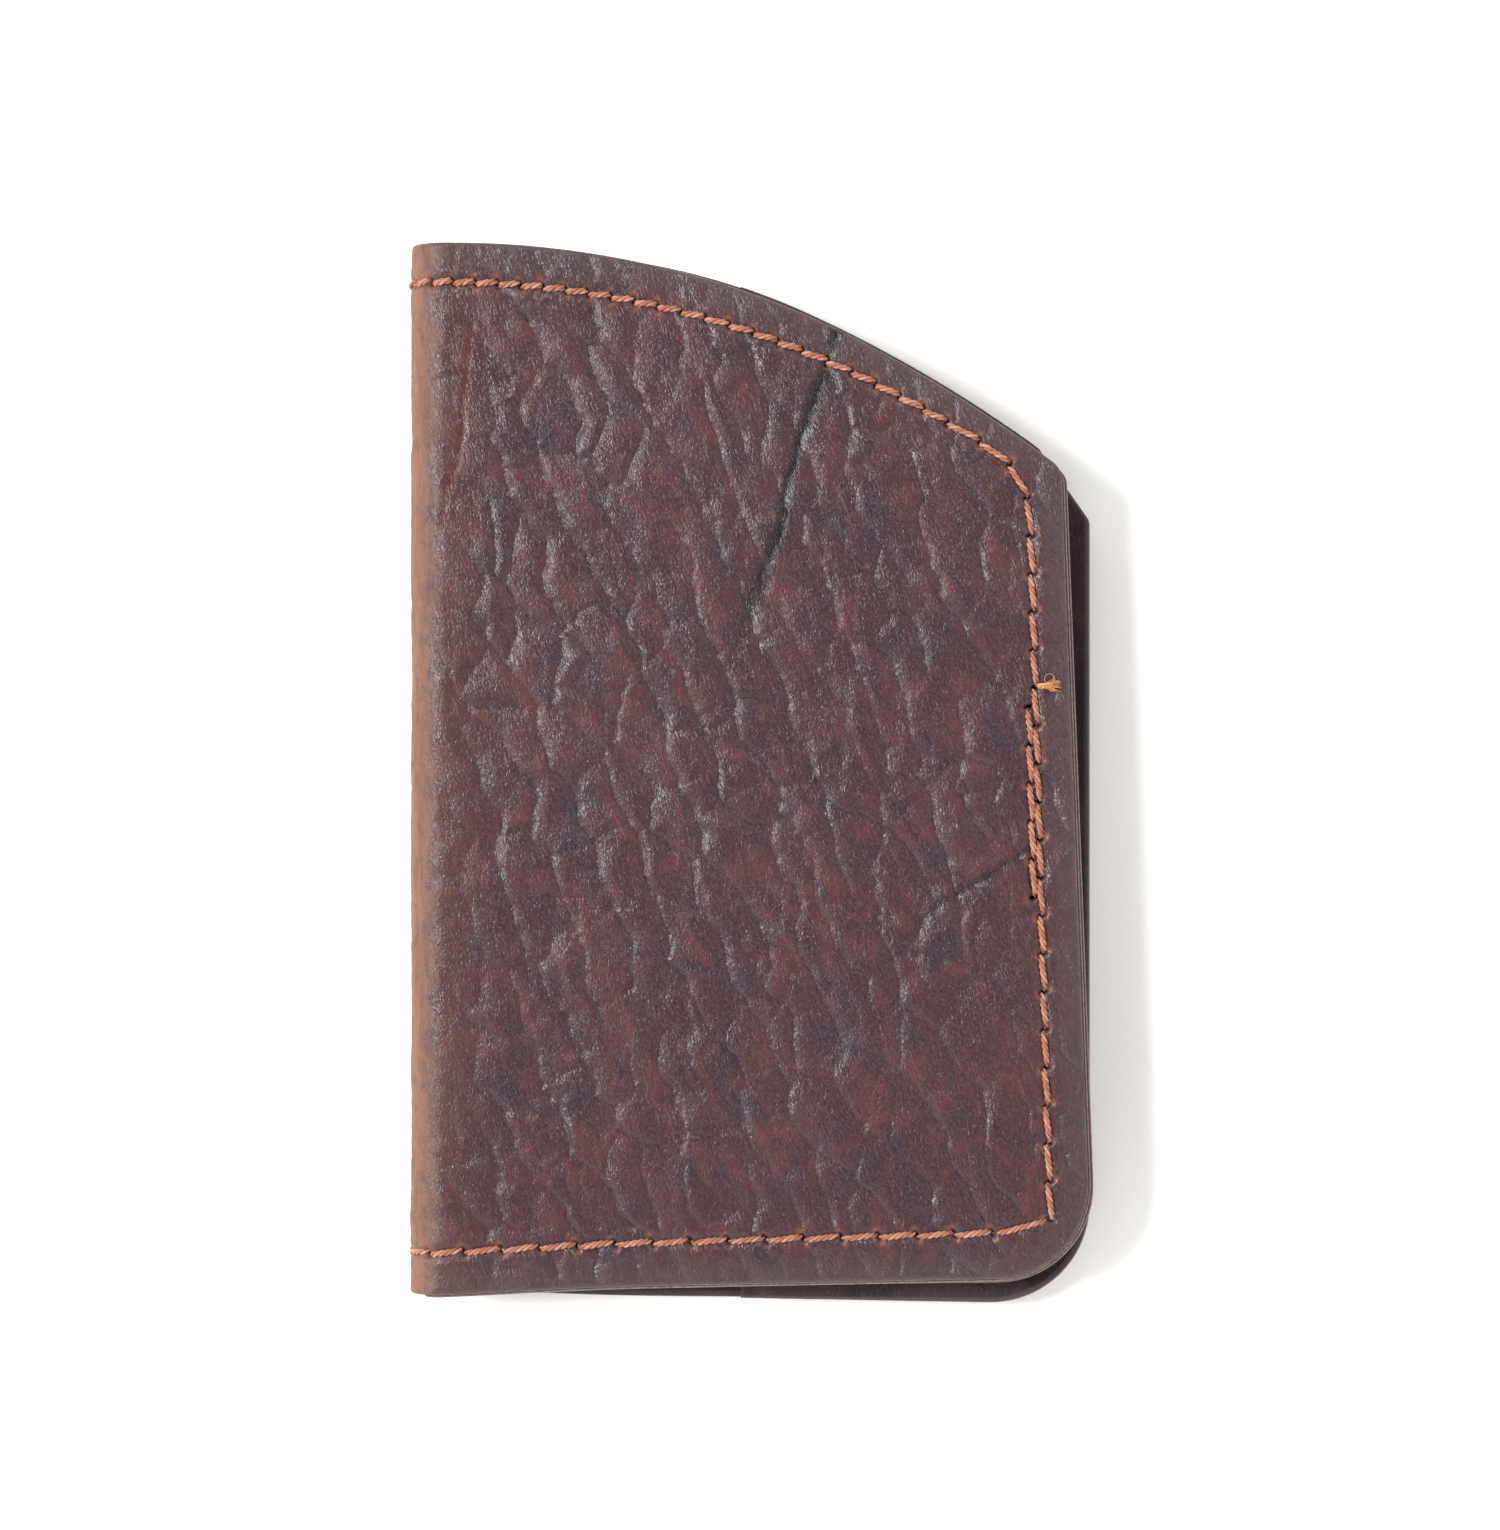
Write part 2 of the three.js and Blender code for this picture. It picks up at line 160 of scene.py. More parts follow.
def near(points, line, reach=3.0):
    """Each point's distance to a polyline, the side (1 is left) and the length along it there.
    A point beyond reach is given as at reach, on the left, at length 0."""
    order = np.argsort(points[:, 1])
    p = points[order]
    best, side, length = np.full(len(p), float(reach)), np.ones(len(p)), np.zeros(len(p))
    for a, b, start in zip(line[:-1], line[1:], lengths(line)):
        d = b - a
        span = np.hypot(*d)
        if span < 1e-9:
            continue
        lows = min(a[1], b[1]) - reach, max(a[1], b[1]) + reach
        part = slice(*np.searchsorted(p[:, 1], lows))
        q = p[part]
        t = np.clip(((q - a) @ d) / span**2, 0, 1)
        r = q - a - t[:, None] * d
        away = np.hypot(r[:, 0], r[:, 1])
        hit = away < best[part]
        best[part][hit], length[part][hit] = away[hit], start + t[hit] * span
        side[part][hit] = np.sign(d[0] * r[hit, 1] - d[1] * r[hit, 0])
    back = np.argsort(order)
    return best[back], side[back], length[back]


def smooth(low, high, v):
    t = np.clip((v - low) / (high - low), 0, 1)
    return t * t * (3 - 2 * t)


def bell(v, width):
    return np.exp(-(v / width) ** 2)


# --- The two halves ---------------------------------------------------------------------------

HANG_FROM = 16.0  # the free edges of a half droop from this far in


class Half:
    """The front or the back. droop is how far its free edges hang in; mouth is where its card
    pocket's mouth crosses y = 0, and how far it leans; card is the lower right corner of the
    cards, and raised how far they hold the pocket up."""

    def __init__(self, body, upper, edge, other_edge, droop, mouth, card, raised):
        self.body, self.upper, self.edge = body, upper, edge
        self.droop, self.mouth, self.card, self.raised = droop, mouth, card, raised
        self.rim = outline(edge)
        # At the spine the edges of the two halves meet half way
        self.shift = [(other_edge[k] - edge[k]) / 2 for k in ("bottom", "top")]

    def level(self, u, y):
        """y as it lies once the sheet has been skewed to meet the other half at the spine."""
        share = smooth(FOLD_X + 22, END_U, u)
        up = (y - self.edge["bottom"]) / (self.edge["top"] - self.edge["bottom"])
        return y + share * (self.shift[0] * (1 - up) + self.shift[1] * up)

    def hang(self, u, y):
        """How far in the leather lies near its free edges, where nothing holds it out."""
        away, side, _ = near(np.c_[u, y], self.rim, HANG_FROM)
        pull = np.clip(1 - away * side / HANG_FROM, 0, 1.1) ** 2
        bulge = SPINE_BULGE * smooth(QUARTER * 0.3, QUARTER, FOLD_X - u)
        return self.droop * pull * smooth(0, 26, u - FOLD_X) - bulge

    def place(self, p):
        """Pattern points (u, y, depth) as points of the frame, in metres."""
        u, y, d = p.T
        past = np.clip(FOLD_X - u, 0, None)
        turn = np.minimum(past, QUARTER) / RADIUS
        x = np.maximum(u, FOLD_X) - (RADIUS - d) * np.sin(turn)
        rise = RADIUS - (RADIUS - d) * np.cos(turn) + np.maximum(past - QUARTER, 0)
        return np.c_[x, self.level(u, y), THICK - rise if self.upper else rise] * MM

    def unrolled(self, u):
        """u on the whole opened sheet, which runs on from the front half into the back one."""
        return u if self.upper else 2 * END_U - u

    def bend(self, piece, depth):
        """Bakes the piece's transform into its mesh. depth is not used."""
        if self.upper:
            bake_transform(piece)
        else:
            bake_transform(piece)


FRONT = Half("front", True, FRONT_EDGE, BACK_EDGE, droop=0.5,
             mouth=(MOUTH_X, 1.25), card=(22.2, -50.4), raised=1.0)
BACK = Half("back", False, BACK_EDGE, FRONT_EDGE, droop=0.7,
            mouth=(MOUTH_X, 0.0), card=(22.5, -53.1), raised=4.2)
HALVES = (FRONT, BACK)


# --- Noise ------------------------------------------------------------------------------------

def value_noise(x, y, seed):
    """Smooth noise from -1 to 1 with features one unit across."""
    table = np.random.default_rng(seed).random((128, 128)) * 2 - 1
    i, j = np.floor(x).astype(int), np.floor(y).astype(int)
    fx, fy = x - i, y - j
    fx, fy = fx * fx * (3 - 2 * fx), fy * fy * (3 - 2 * fy)
    pick = lambda a, b: table[(i + a) % 128, (j + b) % 128]
    return ((pick(0, 0) * (1 - fx) + pick(1, 0) * fx) * (1 - fy)
            + (pick(0, 1) * (1 - fx) + pick(1, 1) * fx) * fy)


def rough_noise(x, y, seed, octaves=3):
    return sum(value_noise(x * 2**k, y * 2**k, seed + k) / 2**k for k in range(octaves))


GRAIN_TURN = 24.0  # how far the grain's long axis is turned from y, its top to the left
WEAK_CREASE = 0.42  # the strength of the creases that run across the grain


def pebbles(x, y, wide, tall, seed, jitter=0.85):
    """Cells wide by tall mm. Gives each point's distance to its cell's border in mm, how strong
    a crease that border is (1 where it runs along the grain), and where the point lies across
    its cell (-0.5 left to 0.5 right)."""
    table = np.random.default_rng(seed).random((64, 64, 2))
    x, y = x / wide, y / tall
    i, j = np.floor(x).astype(int), np.floor(y).astype(int)
    first, second = np.full(x.shape, 9.0), np.full(x.shape, 9.0)
    p1, p2 = np.zeros((2,) + x.shape), np.zeros((2,) + x.shape)
    for a in (-1, 0, 1):
        for b in (-1, 0, 1):
            r = table[(i + a) % 64, (j + b) % 64]
            px = i + a + 0.5 + (r[..., 0] - 0.5) * jitter - x
            py = j + b + 0.5 + (r[..., 1] - 0.5) * jitter - y
            d = px**2 + py**2
            best = d < first
            next_best = (d < second) & ~best
            second = np.where(best, first, np.where(next_best, d, second))
            p2 = np.where(best, p1, np.where(next_best, (px, py), p2))
            first = np.where(best, d, first)
            p1 = np.where(best, (px, py), p1)
    normal = p2 - p1
    normal = normal / (np.hypot(*normal) + 1e-9)
    border = ((p1 + p2) / 2 * normal).sum(0)
    slope = np.hypot(normal[0] / wide, normal[1] / tall)
    leaning = np.abs(normal[0] / wide * 0.985 + normal[1] / tall * 0.17) / slope
    return border / slope, WEAK_CREASE + (1 - WEAK_CREASE) * leaning**1.4, -p1[0]


# --- Seams ------------------------------------------------------------------------------------

SLIT = dict(long=1.1, wide=0.42, turn=-66.0)  # the awl's slanted slits
PITCH, TOP_PITCH, BACK_PITCH = 4.25, 3.55, 4.15
SIDE_RUN = 95  # the length of the front's even stitches, up its side
TACK_SHIFT = 0.78  # from the seam to the backtack's row, towards the spine
THREAD = dict(ply=0.185, lay=2.3, sink=0.10, dive=1.0)


def spaced(start, end, pitch):
    """Even places from start to end, as near this pitch as they can be."""
    count = max(int(round((end - start) / pitch)), 1)
    return np.linspace(start, end, count + 1)


def front_holes(line):
    """Even stitches up to the corner at the foot, one long one across it, and on to the top,
    where they get shorter. The first and last holes are half a stitch from mid spine."""
    run = lengths(line)
    side = spaced(run[2], run[2] + SIDE_RUN, PITCH)
    steps = PITCH + (TOP_PITCH - PITCH) * smooth(0.1, 0.75, np.linspace(0, 1, 24))
    rest = run[-1] - TOP_PITCH / 2 - side[-1]
    steps = steps * rest / steps.sum()
    return np.r_[spaced(PITCH / 2, run[1], PITCH), side, side[-1] + np.cumsum(steps)]


def back_holes(line):
    return spaced(PITCH / 2, lengths(line)[-1] - TOP_PITCH / 2, BACK_PITCH)


FRONT.path = outline(FRONT_SEAM, chamfer=(6.6, 1.3))
BACK.path = outline(BACK_SEAM)
FRONT.holes, BACK.holes = front_holes(FRONT.path), back_holes(BACK.path)

# The seam's two ends overlap: a second row of stitches, half a stitch out of step
seam_points, seam_travel = at(FRONT.path, FRONT.holes)
inward = np.c_[-seam_travel[:, 1], seam_travel[:, 0]]
middle = (seam_points[1:] + seam_points[:-1]) / 2 + TACK_SHIFT * (inward[1:] + inward[:-1]) / 2
TACK = middle[(middle[:, 0] > 20) & (np.abs(middle[:, 1] + 1.2) < 13)]
TACK_HOLES = lengths(TACK)


def slit_axes(travel):
    """The long way of the slit at each hole."""
    c, s = heading(SLIT["turn"])
    return np.c_[travel[:, 0] * c - travel[:, 1] * s, travel[:, 0] * s + travel[:, 1] * c]


def slits(points, line, holes):
    """How deep in a slit each point is (0 to 1), how near a slit's frayed ends (0 to 1), and how
    far it is from the seam."""
    away, _, length = near(points, line)
    centre, travel = at(line, holes)
    deep, frayed = np.zeros(len(points)), np.zeros(len(points))
    for shift in (0, 1):
        k = np.clip(np.searchsorted(holes, length) - shift, 0, len(holes) - 1)
        axis = slit_axes(travel)[k]
        r = points - centre[k]
        along, across = (r * axis).sum(1), r[:, 0] * axis[:, 1] - r[:, 1] * axis[:, 0]
        dent = bell(along, SLIT["long"] / 2) * bell(across, SLIT["wide"] / 2)
        ends = bell(np.abs(along) - 0.8 * SLIT["long"], 0.3) * bell(across, 0.4)
        deep, frayed = np.maximum(deep, dent), np.maximum(frayed, ends)
    return deep, frayed, away


def across_spine(line, holes):
    """A front seam with one more hole at each end, over mid spine, where the back's seam starts."""
    ahead = [line[0] - PITCH * direction(line)[0], line[-1] + PITCH * direction(line)[-1]]
    end = lengths(line)[-1]
    more = np.r_[-PITCH / 2, holes, end + TOP_PITCH / 2]
    return np.vstack([ahead[:1], line, ahead[1:]]), more + PITCH


def stitch_row(line, holes, face, outer, shape):
    """The centre lines of one row's stitches, (stitches, steps, 3) in the pattern."""
    centre, travel = at(line, holes)
    axis = slit_axes(travel)
    reach = 0.22 * SLIT["long"]
    a = (centre + reach * axis + 0.1 * travel)[:-1, None]
    b = (centre - reach * axis - 0.1 * travel)[1:, None]
    t = np.linspace(0, 1, 30)[None, :, None]
    flat = a + (b - a) * t
    fall = np.abs(2 * t[..., 0] - 1) ** 5 * THREAD["dive"]
    sink = THREAD["sink"] + fall + np.zeros(flat.shape[:2])
    u, y = flat[..., 0].ravel(), flat[..., 1].ravel()
    level = face(u, y) + shape(u, y)
    depth = level.reshape(sink.shape) + (sink if outer else -sink)
    return np.dstack([flat, depth])


def square_to(travel):
    """The directions sideways of each step of a line, and up from it."""
    side = np.cross(travel, [0, 0, 1.0])
    side /= np.linalg.norm(side, axis=1)[:, None]
    return side, np.cross(side, travel)


class Tubes:
    """Thin round tubes in the pattern, gathered into one mesh. Each point of the fibre attribute
    has the length along its tube, the turn round it and a tone of the tube's own."""

    def __init__(self):
        self.vertices, self.faces, self.fibres, self.count = [], [], [], 0

    def add(self, core, radius, travel, turn, tone, sides=6):
        side, up = square_to(travel)
        ring = np.linspace(0, 2 * np.pi, sides, endpoint=False)
        out = (np.cos(ring)[None, :, None] * up[:, None]
               + np.sin(ring)[None, :, None] * side[:, None])
        steps = len(core)
        thick = np.broadcast_to(radius, steps)[:, None, None]
        self.vertices.append((core[:, None] + thick * out).reshape(-1, 3))
        run = lengths(core[:, :2])[:, None]
        spin = (ring[None] - turn[:, None]) / (2 * np.pi)
        self.fibres.append(np.dstack([run + 0 * spin, spin, tone + 0 * spin]).reshape(-1, 3))
        index = self.count + np.arange(steps * sides).reshape(steps, sides)
        after = np.roll(index, -1, axis=1)
        quads = np.stack([index[:-1], after[:-1], after[1:], index[1:]], -1)
        self.faces += quads.reshape(-1, 4).tolist()
        self.faces += [index[0][::-1].tolist(), index[-1].tolist()]
        self.count += steps * sides

    def twist(self, line, phase, full, tone):
        """Three plies laid round a centre line."""
        travel = direction(line)
        side, up = square_to(travel)
        for ply in range(3):
            turn = phase + 2 * np.pi * (lengths(line[:, :2]) / THREAD["lay"] + ply / 3)
            r = THREAD["ply"] * full
            core = line + r * (np.cos(turn)[:, None] * up + np.sin(turn)[:, None] * side)
            self.add(core, r * 1.04, travel, turn, tone + ply)

    def mesh(self, name, half):
        mesh_of = bpy.data.meshes.new(name)
        placed = half.place(np.vstack(self.vertices))
        faces = self.faces if half.upper else [f[::-1] for f in self.faces]
        mesh_of.from_pydata(placed.tolist(), [], faces)
        return finish_mesh(name, mesh_of, fibre=np.vstack(self.fibres))


def direction(line):
    travel = np.gradient(line, axis=0)
    return travel / np.linalg.norm(travel, axis=1)[:, None]


def thread_mesh(name, half, rows, seed):
    """Three twisted plies along each centre line."""
    rng = np.random.default_rng(seed)
    tubes = Tubes()
    for line in rows:
        tubes.twist(line, rng.random() * 2 * np.pi, 1 + 0.08 * (rng.random() - 0.5), rng.random())
    return tubes.mesh(name, half)


def frayed_tail(name, half, root, seed=5):
    """The cut end of the thread: a short twisted stub whose fibres curl apart."""
    rng = np.random.default_rng(seed)
    tubes = Tubes()
    x, y = root
    t = np.linspace(0, 1, 16)
    depth = half.hang(np.full(16, x), np.full(16, y)) - 0.1 - 0.35 * t
    tubes.twist(np.c_[x + 0.75 * t, y + 0.1 * np.sin(3 * t), depth], 0.6, 1.0, 0.3)
    for _ in range(44):
        t = np.linspace(0, 1, 14)
        spread = rng.uniform(-0.4, 0.8)
        long = rng.uniform(1.1, 2.3)
        curl = rng.uniform(0.05, 0.3) * np.sin(t * rng.uniform(2, 6)) * t
        rise = rng.uniform(0.1, 1.1)
        fibre = np.c_[x + 0.3 + long * t, y + 0.3 * spread + spread * t**1.4 + curl,
                      depth[-1] + 0.12 - rise * t * (1.25 - t)]
        tubes.add(fibre, 0.042 * (1.15 - 0.5 * t), direction(fibre), 0 * t, 4 + rng.random(), 5)
    loop = np.linspace(-0.5 * np.pi, 1.35 * np.pi, 22)
    curl = np.c_[x + 1.2 + 0.55 * np.cos(loop), y + 0.85 + 0.62 * np.sin(loop),
                 depth[-1] - 0.35 + 0.08 * loop]
    tubes.add(curl, 0.035, direction(curl), 0 * loop, 4.97, 5)
    return tubes.mesh(name, half)


def add(name, data, place=(0, 0, 0)):
    made = bpy.data.objects.new(name, data)
    bpy.context.scene.collection.objects.link(made)
    made.location = place
    return made


def finish_mesh(name, mesh_of, **vectors):
    """Gives a mesh its named attributes and smooth shading, and makes it a piece."""
    for key, values in vectors.items():
        data = mesh_of.attributes.new(key, "FLOAT_VECTOR", "POINT").data
        data.foreach_set("vector", np.ascontiguousarray(values, np.float32).ravel())
    mesh_of.shade_smooth()
    mesh_of.set_sharp_from_angle(angle=np.radians(62))
    return add(name, mesh_of)


# --- Sheets -----------------------------------------------------------------------------------

GRID_RIGHT, GRID_TOP = 42.0, 62.0  # just past the leather's free edge, and past its top


def hex_grid(spacing, left, right=GRID_RIGHT):
    """Points in offset rows over the whole height of the leather."""
    rows = np.arange(-GRID_TOP, GRID_TOP, spacing * 0.866)
    cols = np.arange(left, right, spacing)
    x, y = np.meshgrid(cols, rows)
    x[1::2] += spacing / 2
    return np.c_[x.ravel(), y.ravel()]


def resample(line, spacing):
    """A polyline with even steps no longer than spacing."""
    run = lengths(line)
    s = np.linspace(0, run[-1], int(np.ceil(run[-1] / spacing)) + 1)
    return np.c_[np.interp(s, run, line[:, 0]), np.interp(s, run, line[:, 1])]


def cut_at_mouth(rim, mouth):
    """The part of a rim past a pocket's mouth, a straight line that leans to the spine at its
    top."""
    x, lean = mouth
    keep = rim[:, 0] > x - rim[:, 1] * np.tan(np.radians(lean))
    first, last = np.flatnonzero(keep)[[0, -1]]
    cut = lambda a, b: crossing(a, np.degrees(np.arctan2(*(b - a)[::-1])),
                                np.array([x, 0.0]), 90 + lean)
    return np.vstack([[cut(rim[first - 1], rim[first])], rim[first:last + 1],
                      [cut(rim[last], rim[last + 1])]])


class Border:
    """A closed loop, and for each of its points the direction in which an inset moves it."""

    def __init__(self, rim, spacing, mouth=None):
        run = resample(cut_at_mouth(rim, mouth) if mouth else rim, spacing)
        travel = np.gradient(run, axis=0)
        travel /= np.hypot(*travel.T)[:, None]
        inset = np.c_[-travel[:, 1], travel[:, 0]]
        closing = resample(np.array([run[-1], run[0]]), spacing)[1:-1]
        if mouth:  # the mouth is a rounded edge like the others
            # room for the corners, which an inset moves along the edges too
            run, inset = (np.delete(a, (1, -2), 0) for a in (run, inset))
            closing = closing[1:-1]
            ahead = (run[0] - run[-1]) / np.hypot(*(run[0] - run[-1]))
            across = np.array([-ahead[1], ahead[0]])
            for k in (0, -1):
                inset[k] = (inset[k] + across) / (1 + inset[k] @ across)
            ends = np.broadcast_to(across, closing.shape)
        else:  # at mid spine the sheet goes on in the other half: the insets only shrink it
            inset[0], inset[-1] = (0, 1), (0, -1)
            up = (closing[:, 1] - run[0, 1]) / (run[-1, 1] - run[0, 1])
            ends = np.c_[0 * up, 1 - 2 * up]
        self.loop = np.vstack([run, closing])
        self.inset = np.vstack([inset, ends])
        self.closed = np.vstack([self.loop, self.loop[:1]])

    def ring(self, inset):
        return self.loop + inset * self.inset

    def inside(self, points, margin):
        """Of these points, those inside the loop and not this close to it. The loop is convex."""
        loop, y = self.loop, points[:, 1]
        low, high = loop[:, 1].argmin(), loop[:, 1].argmax()
        right = loop[low:high + 1] if low < high else np.vstack([loop[low:], loop[:high + 1]])
        left = loop[high:low + 1] if high < low else np.vstack([loop[high:], loop[:low + 1]])
        within = ((points[:, 0] < np.interp(y, right[:, 1], right[:, 0]))
                  & (points[:, 0] > np.interp(y, left[::-1, 1], left[::-1, 0]))
                  & (y > loop[low, 1]) & (y < loop[high, 1]))
        points = points[within]
        return points[near(points, self.closed, margin + 0.1)[0] > margin]


def triangles(loop, inside):
    """Triangles over a loop and the points inside it, as indices that count the loop first."""
    points = [Vector(p) for p in np.vstack([loop, inside]).tolist()]
    _, _, faces, sources, _, _ = delaunay_2d_cdt(points, [], [list(range(len(loop)))], 1, 1e-6)
    index = np.array([s[0] for s in sources])
    tri = index[np.array(faces)]
    p = np.vstack([loop, inside])
    a, b, c = (p[tri[:, k]] for k in range(3))
    area = (b - a)[:, 0] * (c - a)[:, 1] - (b - a)[:, 1] * (c - a)[:, 0]
    tri[area < 0] = tri[area < 0][:, ::-1]
    return tri


def sheet(name, half, border, face, thick, outer, grid, far_grid, shape, relief, rounding):
    """A closed sheet whose detailed side is its outer or its inner one. shape moves both sides
    in; relief stands out from the detailed side and gives the marks that the material reads."""
    round_face, round_far = rounding
    turns = np.radians([30, 60, 90])
    rings = [(round_face * (1 - np.sin(a)), round_face * (1 - np.cos(a))) for a in turns]
    rings += [(0.0, (thick + round_face - round_far) / 2)]
    rings += [(round_far * (1 - np.sin(a)), thick - round_far * (1 - np.cos(a)))
              for a in np.radians([90, 45, 0])]
    rim = border.ring(round_face)
    fine = border.inside(grid, round_face + 0.12)
    last = border.ring(rings[-1][0])
    coarse = border.inside(far_grid, rings[-1][0] + 0.4)
    n = len(rim)
    flat = np.vstack([rim, fine] + [border.ring(r[0]) for r in rings] + [coarse])
    run = np.concatenate([np.zeros(n + len(fine))] + [np.full(n, r[1]) for r in rings]
                         + [np.full(len(coarse), thick)])
    front = triangles(rim, fine)
    starts = n + len(fine) + n * np.arange(len(rings))
    back = triangles(last, coarse) + starts[-1]
    faces = front.tolist() + back[:, ::-1].tolist()
    step = np.arange(n)
    previous = 0
    for start in starts:
        a, b = previous + step, start + step
        faces += np.stack([a, b, np.roll(b, -1), np.roll(a, -1)], -1).tolist()
        previous = start
    u, y = flat.T
    height, marks, tones = relief(u, y)
    height = height * np.clip(1 - run / (0.6 * thick), 0, 1)
    sign = 1 if outer else -1
    depth = face + sign * (run - height) + shape(u, y)
    mesh_of = bpy.data.meshes.new(name)
    if half.upper != outer:
        faces = [f[::-1] for f in faces]
    mesh_of.from_pydata(half.place(np.c_[u, y, depth]).tolist(), [], faces)
    pattern = np.c_[half.unrolled(u), half.level(u, y), run]
    return finish_mesh(name, mesh_of, pattern=pattern, marks=marks, tones=tones)


# --- The relief of the leather ---------------------------------------------------------------

# Scratches and creases of the front, in the frame: points, width, depth, how dark their painted
# shade is, and how red
SCARS = (
    ([(10.2, 52.6), (9.4, 50.2), (6.9, 42.7), (4.7, 37.0), (3.3, 29.1), (-1.0, 17.7), (-5.7, 4.7)],
     0.5, 0.22, 1.0, 0.0),
    ([(32.8, -7.5), (21.1, -14.6), (11.8, -23.7)], 0.35, 0.16, 0.6, 0.0),
    ([(23.4, 3.0), (14.9, -6.1), (14.3, -10.6)], 0.3, 0.09, 0.4, 0.0),
    ([(-32.0, 52.0), (-33.3, 36.9), (-35.2, 30.0), (-36.2, 19.1)], 0.3, 0.14, 0.3, 1.0),
    ([(-38.6, 44.2), (-33.0, 45.6), (-28.5, 44.9), (-22.0, 46.2)], 0.22, 0.12, 0.0, 0.0),
    ([(-38.8, 41.8), (-34.5, 40.3), (-30.2, 41.0), (-25.0, 40.0)], 0.22, 0.10, 0.0, 0.0),
    ([(-38.6, 35.5), (-35.0, 34.6), (-31.5, 35.3)], 0.2, 0.08, 0.0, 0.0),
    ([(-38.6, -27.0), (-36.6, -25.0), (-34.0, -22.6)], 0.3, 0.08, 0.75, 0.0),
    ([(-39.0, -51.0), (-37.6, -48.8), (-35.2, -46.8)], 0.3, 0.08, 0.8, 0.3),
)


# Heights in mm: each pebble's tilt, its fall towards its borders, and the crease between pebbles
TILT, CROWN, CREASE = 0.16, 0.24, 0.06


def grain(half, u, y, strength):
    """The pebbled relief of the outer leather, and how near each point is to a crease."""
    across = half.unrolled(u)
    c, s = heading(-GRAIN_TURN)
    x, v = c * across - s * y, s * across + c * y
    x = x + 1.1 * rough_noise(x / 6.5, v / 7.5, 11) + 0.2 * rough_noise(x / 1.3, v / 1.7, 12, 2)
    v = v + 1.8 * rough_noise(x / 6, v / 7, 15)
    bold = np.clip(0.95 + 0.4 * value_noise(x / 12, v / 14, 41), 0.5, 1.35)
    fine_bold = np.clip(0.55 + value_noise(x / 7, v / 9, 51), 0, 1)
    height, creases = np.zeros(len(u)), np.zeros(len(u))
    for wide, tall, seed, here in ((4.6, 8.4, 21, bold), (2.4, 4.4, 31, 0.5 * fine_bold)):
        border, leaning, place = pebbles(x + seed, v, wide, tall, seed)
        step = -place * np.tanh(border / 0.13) * leaning
        crown = leaning * np.exp(-border / (0.22 * wide))
        crease = bell(border, 0.3) * leaning
        height += here * (TILT * step - CROWN * crown - CREASE * crease)
        creases = np.maximum(creases, crease * here)
    height += 0.19 * rough_noise(x / 4, v / 6, 61)
    return height * strength, creases * strength


def outer_relief(half):
    """The outer leather's grain, seam groove, slits and wrinkles, and on the front its scars."""
    def relief(u, y):
        points = np.c_[u, y]
        deep, frayed, away = slits(points, half.path, half.holes)
        groove = bell(away, 0.55)
        edge_away, side, _ = near(points, half.rim, 12)
        edge_away = np.maximum(edge_away * side, 0)
        if half is FRONT:
            d2, f2, a2 = slits(points, TACK, TACK_HOLES)
            deep, frayed = np.maximum(deep, d2), np.maximum(frayed, f2)
            groove = np.maximum(groove, bell(a2, 0.5))
        folded = smooth(7, -2, u - FOLD_X)
        calm = (1 - 0.85 * bell(away, 0.75)) * (0.7 + 0.3 * smooth(0.2, 3.0, edge_away))
        height, crease = grain(half, u, y, calm * (1 - 0.75 * folded))
        level = half.level(u, y)
        across = half.unrolled(u)
        # fine wrinkles square to the spine and along it, where the leather bends
        wave = level + 0.8 * rough_noise(across / 5, level / 4, 73)
        height += folded * (0.05 * rough_noise(across / 3.0, wave / 1.4, 71, 2)
                            + 0.05 * rough_noise(across / 0.9, level / 5.0, 75, 2))
        height += -0.22 * groove - 0.85 * deep + 0.06 * bell(away - 1.25, 0.5)
        dark, red = np.zeros(len(u)), np.zeros(len(u))
        if half is FRONT:
            for line, width, drop, darkness, redness in SCARS:
                line = np.array(line)
                wander = 0.25 * value_noise(u / 2.1, y / 2.1, 81)
                gap, _, s = near(points + wander[:, None] * [1, 0.3], line)
                end = lengths(line)[-1]
                fade = smooth(0, 1.5, s) * smooth(end, 0.45 * end, s)
                height -= drop * bell(gap, width) * fade
                dark = np.maximum(dark, darkness * bell(gap, 1.5 * width) * fade)
                red = np.maximum(red, redness * bell(gap, 2.0 * width) * fade)
        return height, np.c_[crease, deep, frayed], np.c_[dark, red, edge_away]
    return relief


def inner_relief(half, bare):
    """A smooth leather face with the seam pressed into it, where bare(u, y) says that the seam
    lies on it."""
    def relief(u, y):
        points = np.c_[u, y]
        deep, frayed, away = slits(points, half.path, half.holes)
        here = bare(u, y)
        height = here * (-0.18 * bell(away, 0.55) - 0.6 * deep)
        across, level = half.unrolled(u), half.level(u, y)
        height += 0.05 * rough_noise(across / 6, level / 6, 91)
        folded = smooth(8, -1, u - FOLD_X)
        height += folded * 0.09 * value_noise(across / 1.3, level / 6.0, 95)
        rim_away, side, _ = near(points, half.rim, 12)
        marks = np.c_[np.zeros(len(u)), here * deep, here * frayed]
        return height, marks, np.c_[folded, np.zeros(len(u)), rim_away * side]
    return relief


def past_mouth(half, u, y):
    """How far a point lies beyond the pocket's mouth, towards the free edge."""
    x, lean = half.mouth
    return (u - x + y * np.tan(np.radians(lean))) * np.cos(np.radians(lean))


